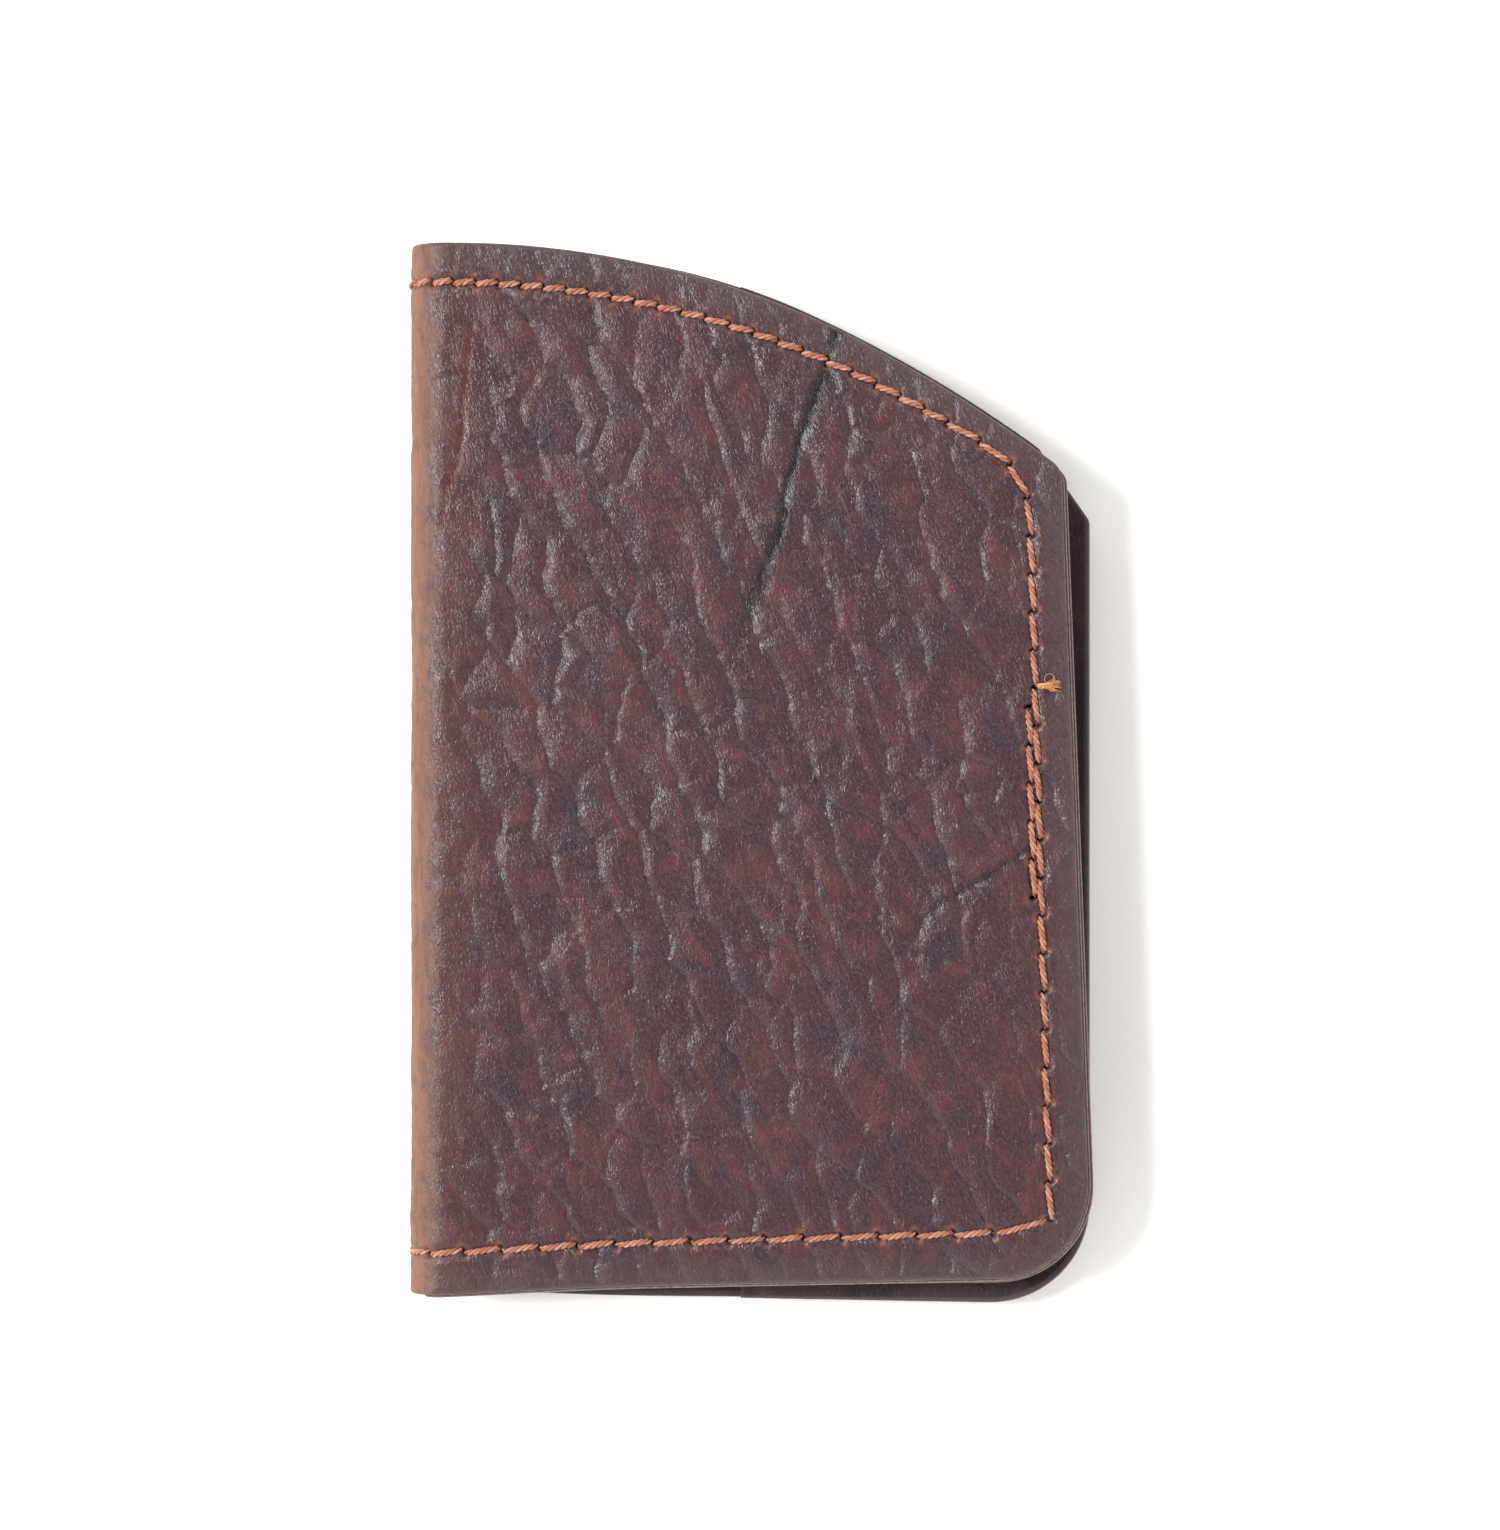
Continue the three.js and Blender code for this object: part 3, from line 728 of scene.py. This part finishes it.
def pillow(half, u, y):
    """How far the card pocket is raised over its cards, which its sides slope up to."""
    right, bottom = half.card
    reach, corner, slope = 1.15, 6.0, 3.6 + 1.2 * half.raised
    half_high = CARD_HIGH / 2 + reach
    over_x = u - (right + reach - corner)
    over_y = np.abs(y - bottom - CARD_HIGH / 2) - (half_high - corner)
    outside = np.hypot(np.maximum(over_x, 0), np.maximum(over_y, 0))
    away = outside + np.minimum(np.maximum(over_x, over_y), 0) - corner
    lift = smooth(0.3, -slope, away)
    soft = 0.16 * half.raised * value_noise(u / 17, y / 19, 101) * smooth(-4, -18, away)
    return half.raised * lift - np.abs(soft)


def pocket_shape(half):
    return lambda u, y: half.hang(u, y) + pillow(half, u, y)


def pocket_relief(half):
    """The inner relief, with a line creased along the pocket's mouth."""
    base = inner_relief(half, lambda u, y: np.ones(len(u)))

    def relief(u, y):
        height, marks, tones = base(u, y)
        mouth = past_mouth(half, u, y)
        height -= 0.16 * bell(mouth - 2.4, 0.35)
        tones[:, 0] = bell(mouth - 2.4, 0.6)
        return height, marks, tones
    return relief


def seam_band(half, spacing=0.2, wide=1.25):
    """Extra points close to the seam, where the slits and the groove are."""
    grid = hex_grid(spacing, END_U, 40)
    away, _, length = near(grid, resample(half.path, 1.2))
    near_slit = np.abs(length[:, None] - half.holes[None]).min(1) < 0.9
    keep = (away < wide) & ((away < 0.5) | near_slit)
    if half is FRONT:
        keep |= near(grid, TACK)[0] < 0.9
    return grid[keep]


def clear_of(points, others, cell):
    """Of these points, those with none of the others in the same square cell."""
    taken = set(map(tuple, np.floor(others / cell).astype(int).tolist()))
    return points[[tuple(c) not in taken for c in np.floor(points / cell).astype(int).tolist()]]


def joined_grid(half, spacing):
    """An even grid with finer points along the seam and the grain's creases."""
    fine = seam_band(half)
    if half is FRONT:
        creased = hex_grid(0.2, END_U + 0.2)
        creased = creased[grain(half, *creased.T, 1.0)[1] > 0.5]
        fine = np.vstack([fine, clear_of(creased, fine, 0.18)])
    grid = hex_grid(spacing, END_U + spacing / 2)
    return np.vstack([clear_of(grid, fine, 0.3), fine])


def back_grid(spacing):
    """A coarse grid for a hidden side, fine enough round the fold to bend."""
    rolled = hex_grid(0.7, END_U + 0.4, FOLD_X + 1)
    return np.vstack([rolled, hex_grid(spacing, FOLD_X + 1.4)])


# --- Materials --------------------------------------------------------------------------------

class Nodes:
    """A material's node tree, with short calls for the nodes that it uses."""

    def __init__(self, name):
        self.material = bpy.data.materials.new(name)
        self.material.use_nodes = True
        self.tree = self.material.node_tree
        self.shader = self.tree.nodes["Principled BSDF"]

    def put(self, socket, value):
        if isinstance(value, bpy.types.NodeSocket):
            self.tree.links.new(value, socket)
        else:
            socket.default_value = value

    def node(self, kind, inputs, out=0, **settings):
        made = self.tree.nodes.new("ShaderNode" + kind)
        for key, value in settings.items():
            setattr(made, key, value)
        for key, value in inputs.items():
            self.put(made.inputs[key], value)
        return made.outputs[out]

    def attribute(self, name):
        return self.node("Attribute", {}, "Vector", attribute_name=name)

    def parts(self, vector):
        made = self.tree.nodes.new("ShaderNodeSeparateXYZ")
        self.put(made.inputs[0], vector)
        return made.outputs

    def math(self, operation, a, b=0.0):
        return self.node("Math", {0: a, 1: b}, operation=operation)

    def stretch(self, vector, size, turn=0.0, shift=(0, 0, 0)):
        """Coordinates in which one unit is this size, on axes turned anticlockwise by turn."""
        return self.node("Mapping", {"Vector": vector, "Location": shift, "Scale": size,
                                     "Rotation": (0, 0, np.radians(turn))}, vector_type="TEXTURE")

    def noise(self, vector, scale, detail=2.0, rough=0.5, warp=0.0):
        return self.node("TexNoise", {"Vector": vector, "Scale": scale, "Detail": detail,
                                      "Roughness": rough, "Distortion": warp})

    def ramp(self, value, low, high, to_low=0.0, to_high=1.0):
        return self.node("MapRange", {"Value": value, "From Min": low, "From Max": high,
                                      "To Min": to_low, "To Max": to_high},
                         interpolation_type="SMOOTHSTEP")

    def mix(self, share, a, b):
        made = self.tree.nodes.new("ShaderNodeMix")
        made.data_type = "RGBA"
        self.put(made.inputs[0], share)
        self.put(made.inputs[6], a)
        self.put(made.inputs[7], b)
        return made.outputs[2]

    def bump(self, height, distance, before=None):
        inputs = {"Height": height, "Distance": distance, "Strength": 1.0}
        if before is not None:
            inputs["Normal"] = before
        return self.node("Bump", inputs)

    def shade(self, inputs):
        """Sets these inputs of the shader, and gives the material."""
        for key, value in inputs.items():
            self.put(self.shader.inputs[key], value)
        return self.material


def srgb(r, g, b):
    """A colour given as the eye sees it, from 0 to 255, in the linear values that nodes use."""
    c = np.array([r, g, b]) / 255
    return tuple(np.where(c <= 0.04045, c / 12.92, ((c + 0.055) / 1.055) ** 2.4)) + (1.0,)


def leather_bump(n, flat, streak, pores):
    """Fine streaky wrinkles that run down to the right, and pores between them. Gives the pores."""
    streaks = n.noise(n.stretch(flat, (0.33, 0.95, 1), GRAIN_TURN), 1.0, 1.0, 0.5, 0.8)
    ridged = n.math("ABSOLUTE", n.math("SUBTRACT", streaks, 0.5))
    fine = n.noise(n.stretch(flat, (0.24, 0.42, 1), GRAIN_TURN), 1.0, 0.6, 0.5)
    normal = n.bump(ridged, streak * MM)
    normal = n.bump(fine, pores * MM, normal)
    n.shade({"Normal": normal})
    return fine


def outer_material():
    """Waxy dark red-brown leather with red and blue patches, tan where it is bent."""
    n = Nodes("pull_up_leather")
    pattern, marks, tones = (n.attribute(k) for k in ("pattern", "marks", "tones"))
    u, _, run = n.parts(pattern)
    flat = n.node("VectorMath", {0: pattern, 1: (1, 1, 0)}, operation="MULTIPLY")
    crease, slit, frayed = n.parts(marks)
    dark, red, rim = n.parts(tones)
    fine = leather_bump(n, flat, -0.15, 0.046)

    broad = n.noise(flat, 0.075, 3.0, 0.55, 0.6)
    patch = n.noise(n.stretch(flat, (3.2, 5.5, 1), GRAIN_TURN, (31, 7, 0)), 1.0, 4.0, 0.62, 0.8)
    blue = n.noise(n.stretch(flat, (4.5, 6.5, 1), GRAIN_TURN, (-17, 60, 0)), 1.0, 3.0, 0.6, 0.5)
    colour = n.mix(n.ramp(broad, 0.35, 0.68), srgb(53, 34, 41), srgb(63, 40, 44))
    colour = n.mix(n.ramp(patch, 0.46, 0.74), colour, srgb(80, 38, 42))
    colour = n.mix(n.ramp(blue, 0.50, 0.72, 0.0, 0.85), colour, srgb(42, 35, 49))
    speckle = n.ramp(fine, 0.40, 0.68, 0.0, 0.5)
    colour = n.mix(speckle, colour, srgb(76, 54, 57))
    # painted shade: the creases between the pebbles are darkened
    colour = n.mix(n.math("MULTIPLY", crease, 0.35), colour, srgb(38, 27, 34))
    # near the rim the leather is paler and greyer
    colour = n.mix(n.ramp(rim, 4.5, 0.6, 0.0, 0.6), colour, srgb(70, 58, 60))
    colour = n.mix(n.math("MULTIPLY", red, 0.8), colour, srgb(84, 30, 26))
    # painted shade: the scars' creases are darkened almost to black
    colour = n.mix(dark, colour, srgb(12, 12, 22))
    # the bend has pulled the wax off: tan at the spine, on both sides of its middle
    from_spine = n.math("SUBTRACT", REACH, n.math("ABSOLUTE", n.math("SUBTRACT", u, END_U)))
    uneven = n.noise(n.stretch(flat, (1.9, 2.6, 1), 0, (5, 5, 0)), 1.0, 5.0, 0.65, 0.5)
    bent = n.math("ADD", from_spine, n.math("MULTIPLY", n.math("SUBTRACT", uneven, 0.5), 8.5))
    colour = n.mix(n.ramp(bent, -5.5, 2.6, 0.0, 0.5), colour, srgb(80, 52, 43))
    colour = n.mix(n.ramp(bent, 0.6, 4.2, 0.0, 0.9), colour, srgb(124, 85, 64))
    colour = n.mix(n.ramp(bent, 5.6, 9.0, 0.0, 0.85), colour, srgb(74, 46, 40))
    lengthwise = n.noise(n.stretch(flat, (0.9, 7.0, 1), 0, (2, 9, 0)), 1.0, 4.0, 0.65, 0.7)
    worn = n.ramp(bent, 0.0, 4.0, 0.25, 1.0)
    streaks = n.math("MULTIPLY", n.ramp(lengthwise, 0.42, 0.70, 0.0, 0.5), worn)
    colour = n.mix(streaks, colour, srgb(70, 44, 38))
    colour = n.mix(n.ramp(uneven, 0.50, 0.74, 0.0, 0.6), colour, srgb(60, 41, 39))
    tan = n.math("MULTIPLY", frayed, n.ramp(patch, 0.35, 0.6, 0.1, 0.4))
    colour = n.mix(tan, colour, srgb(150, 88, 58))
    # painted shade: the stitch slits are painted nearly black inside
    colour = n.mix(n.ramp(slit, 0.25, 0.75), colour, srgb(14, 9, 11))
    # the cut edge is burnished dark red, and the hidden inner side is given the same colour
    colour = n.mix(n.ramp(run, 0.12, 0.4), colour, srgb(70, 28, 28))
    gloss = n.math("ADD", n.ramp(patch, 0.3, 0.7, 0.31, 0.41), n.ramp(bent, -0.5, 3.5, 0.0, 0.2))
    return n.shade({"Base Color": colour, "Roughness": gloss, "Specular IOR Level": 0.37})


def inner_material(name, face, cut, scale, layer):
    """Thin smooth leather: a dark face and a lighter cut edge where the fibres show. layer is
    how far its edge is pushed out past the outer leather's."""
    n = Nodes(name)
    pattern, marks, tones = (n.attribute(k) for k in ("pattern", "marks", "tones"))
    _, _, run = n.parts(pattern)
    flat = n.node("VectorMath", {0: pattern, 1: (scale, scale, 0)}, operation="MULTIPLY")
    _, slit, frayed = n.parts(marks)
    worn, _, rim = n.parts(tones)
    fine = leather_bump(n, flat, -0.10, 0.05)
    cloud = n.noise(flat, 0.12, 4.0, 0.6, 0.5)
    colour = n.mix(n.ramp(cloud, 0.35, 0.65), face, srgb(56, 38, 42))
    colour = n.mix(n.math("MULTIPLY", n.ramp(fine, 0.4, 0.7), 0.3), colour, srgb(64, 47, 51))
    colour = n.mix(n.math("MULTIPLY", worn, 0.35), colour, srgb(96, 68, 62))
    colour = n.mix(n.math("MULTIPLY", frayed, 0.4), colour, srgb(130, 86, 64))
    # painted shade: the stitch slits are painted nearly black inside
    colour = n.mix(n.ramp(slit, 0.25, 0.75), colour, srgb(14, 9, 11))
    fibres = n.noise(n.stretch(pattern, (0.45, 0.45, 0.14)), 1.0, 4.0, 0.7)
    edge = n.mix(n.ramp(fibres, 0.35, 0.7), cut, srgb(88, 66, 66))
    # painted shadow: the cut edge is darkened where it lies close under the edges of the layers
    # outside it
    edge = n.mix(n.ramp(rim, -layer + 0.1, -layer + 0.22), edge, srgb(58, 42, 42))
    skived = n.ramp(rim, -layer + 0.75, -layer + 0.55, 0.0, 0.8)
    colour = n.mix(skived, colour, srgb(74, 62, 64))
    colour = n.mix(n.ramp(run, 0.08, 0.2), colour, edge)
    gloss = n.ramp(cloud, 0.3, 0.7, 0.42, 0.56)
    return n.shade({"Base Color": colour, "Roughness": gloss, "Specular IOR Level": 0.33})


def thread_material(name, dull, bright):
    n = Nodes(name)
    fibre = n.attribute("fibre")
    _, _, tone = n.parts(fibre)
    hair = n.noise(n.stretch(fibre, (0.45, 0.04, 0.3)), 1.0, 3.0, 0.6, 0.2)
    dirt = n.noise(n.stretch(fibre, (1.2, 1.0, 0.1)), 1.0, 3.0, 0.6)
    colour = n.mix(n.ramp(hair, 0.3, 0.7), dull, bright)
    # painted highlight: some plies, picked at random, are painted pale; on the frayed tail this also
    # varies its fibres' tone
    own = n.math("FRACT", n.math("MULTIPLY", tone, 7.3))
    colour = n.mix(n.ramp(own, 0.2, 1.0, 0.0, 0.25), colour, srgb(236, 192, 164))
    colour = n.mix(n.ramp(dirt, 0.5, 0.8, 0.0, 0.5), colour, srgb(112, 64, 48))
    return n.shade({"Base Color": colour, "Normal": n.bump(hair, 0.05 * MM), "Roughness": 0.62,
                    "Sheen Weight": 0.25, "Sheen Roughness": 0.4})


def floor_material():
    n = Nodes("white_cotton")
    place = n.node("TexCoord", {}, "Object")
    weave = n.node("TexWave", {"Vector": place, "Scale": 900.0, "Distortion": 2.0,
                               "Detail": 1.0}, "Fac", bands_direction="DIAGONAL")
    colour = n.mix(weave, (0.91, 0.91, 0.9, 1), (0.93, 0.93, 0.918, 1))
    return n.shade({"Base Color": colour, "Roughness": 0.9})


OUTER = outer_material()
LINING = inner_material("lining_leather", srgb(38, 27, 35), srgb(140, 116, 112), 1.0, CREEP)
POCKET = inner_material("pocket_leather", srgb(36, 26, 34), srgb(136, 110, 105), 0.8, 2 * CREEP)
COPPER = thread_material("waxed_thread", srgb(126, 68, 47), srgb(174, 106, 76))
FRAYED = thread_material("frayed_thread", srgb(170, 98, 52), srgb(226, 160, 92))


# --- Pieces -----------------------------------------------------------------------------------

def finished(piece, material, slot, *nodes):
    """Gives a piece its material, and hides these CAD nodes, whose place it takes. slot is not used.
    """
    piece.data.materials.append(material)
    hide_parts(*nodes)
    return piece


def no_face(u, y):
    """The depth of the outer face."""
    return np.zeros(len(u))


def inner_face(half):
    """The depth of the inner face that the seam lies on: the pocket's flange, or the lining."""
    return lambda u, y: LINING_FACE + (POCKET_FACE - LINING_FACE) * smooth(
        -0.8, 0.3, past_mouth(half, u, y))


def make_cover(half):
    """The outer leather. The front's piece is the upper half of the spine too."""
    spine = ["spine_outer_leather"] if half is FRONT else []
    spacing = 0.48 if half is FRONT else 0.5
    piece = sheet(f"{half.body}_cover", half, Border(half.rim, 0.4), 0.0, OUTER_THICK, True,
                  joined_grid(half, spacing), back_grid(2.6), half.hang, outer_relief(half),
                  (0.5, 0.25))
    half.bend(finished(piece, OUTER, "outer_leather", f"{half.body}_outer_leather", *spine), 0)


def make_lining(half):
    """The lining. The back's piece is the lower half of the spine's lining too."""
    spine = ["spine_lining"] if half is BACK else []
    rim = outline(crept(half.edge, 1))
    bare = lambda u, y: smooth(0.5, -0.5, past_mouth(half, u, y))
    piece = sheet(f"{half.body}_inside", half, Border(rim, 0.6), LINING_FACE, LINING_THICK, False,
                  hex_grid(0.75, END_U + 0.4), back_grid(2.6), half.hang,
                  inner_relief(half, bare), (0.2, 0.2))
    half.bend(finished(piece, LINING, "lining", f"{half.body}_lining", *spine), LINING_FACE)


def make_pocket(half):
    """The card pocket, with its mouth towards the spine."""
    rim = outline(crept(half.edge, 2))
    piece = sheet(f"{half.body}_pocket", half, Border(rim, 0.55, half.mouth), POCKET_FACE,
                  POCKET_THICK, False, hex_grid(0.7, -6), hex_grid(1.4, -6), pocket_shape(half),
                  pocket_relief(half), (0.4, 0.25))
    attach(finished(piece, POCKET, "pocket_leather", f"{half.body}_card_pocket"), half.body)


def make_seam(half):
    """The seam's outer and inner rows. The front's are also the spine's."""
    seam, ends = (half.path, half.holes), ()
    if half is FRONT:
        seam, ends = across_spine(half.path, half.holes), ("spine_top", "spine_bottom")
    for kind, face, outer, depth, seed in (("needle", no_face, True, 0, 7),
                                           ("bobbin", inner_face(half), False, LINING_FACE, 8)):
        rows = stitch_row(*seam, face, outer, half.hang)
        piece = thread_mesh(f"{half.body}_{kind}_stitches", half, rows, seed)
        nodes = [f"{place}_{kind}_thread" for place in (half.body, *ends)]
        half.bend(finished(piece, COPPER, "thread", *nodes), depth)


def make_backtack():
    """The second row of stitches on the front, outside and inside."""
    for face, outer, name, node, seed in (
            (no_face, True, "front_backtack_stitches", "front_backtack_thread", 9),
            (inner_face(FRONT), False, "front_backtack_bobbin", "front_backtack_bobbin_thread", 10)):
        rows = stitch_row(TACK, TACK_HOLES, face, outer, FRONT.hang)
        piece = thread_mesh(name, FRONT, rows, seed)
        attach(finished(piece, COPPER, "thread", node), "front")


def make_tail():
    piece = frayed_tail("front_tail", FRONT, (32.3, 10.15))
    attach(finished(piece, FRAYED, "thread", "front_thread_tail"), "front")


for half in HALVES:
    make_cover(half)
    make_lining(half)
    make_pocket(half)
    make_seam(half)
make_backtack()
make_tail()


# --- The floor, the light and the camera ------------------------------------------------------

def make_floor():
    """The case stands on its stitches, a little above the floor."""
    mesh_of = bpy.data.meshes.new("floor")
    mesh_of.from_pydata([(-2, -2, 0), (2, -2, 0), (2, 2, 0), (-2, 2, 0)], [], [(0, 1, 2, 3)])
    mesh_of.materials.append(floor_material())
    add("floor", mesh_of, (0, 0, -STITCH_STAND * MM))


# How bright the sky is at each height: white at the horizon, a ring of softboxes half way up, and
# dark overhead
SKY = ((0.0, 0.28), (0.18, 0.28), (0.28, 0.12), (0.38, 0.12), (0.55, 1.0), (0.82, 0.011))


def make_sky():
    world = bpy.data.worlds.new("studio")
    world.use_nodes = True
    bpy.context.scene.world = world
    nodes, links = world.node_tree.nodes, world.node_tree.links
    upward, glow = nodes.new("ShaderNodeSeparateXYZ"), nodes.new("ShaderNodeValToRGB")
    links.new(nodes.new("ShaderNodeTexCoord").outputs["Generated"], upward.inputs[0])
    links.new(upward.outputs["Z"], glow.inputs[0])
    links.new(glow.outputs["Color"], nodes["Background"].inputs["Color"])
    nodes["Background"].inputs["Strength"].default_value = 4.1
    ramp = glow.color_ramp
    ramp.interpolation = "EASE"
    ramp.elements.remove(ramp.elements[1])
    for k, (height, level) in enumerate(SKY):
        stop = ramp.elements.new(height) if k else ramp.elements[0]
        stop.color = (level, 0.985 * level, 0.965 * level, 1)


def make_key():
    """A softbox that rakes the leather from the spine's side."""
    lamp = bpy.data.lights.new("key", "AREA")
    lamp.shape, lamp.size, lamp.energy = "SQUARE", 0.32, 20.5
    key = add("key", lamp, (-0.88, 0.2, 1.08))
    key.rotation_euler = (-key.location).to_track_quat("-Z", "Y").to_euler()


def make_camera():
    """Straight down on the front cover from 0.4 m above it."""
    lens = bpy.data.cameras.new("camera")
    lens.lens, lens.sensor_width, lens.clip_start = 83.0, 36.0, 0.01
    bpy.context.scene.camera = add("camera", lens, (-0.43 * MM, 1.28 * MM, 0.4 + THICK * MM))


make_floor()
make_sky()
make_key()
make_camera()
bpy.context.scene.view_settings.view_transform = "Standard"
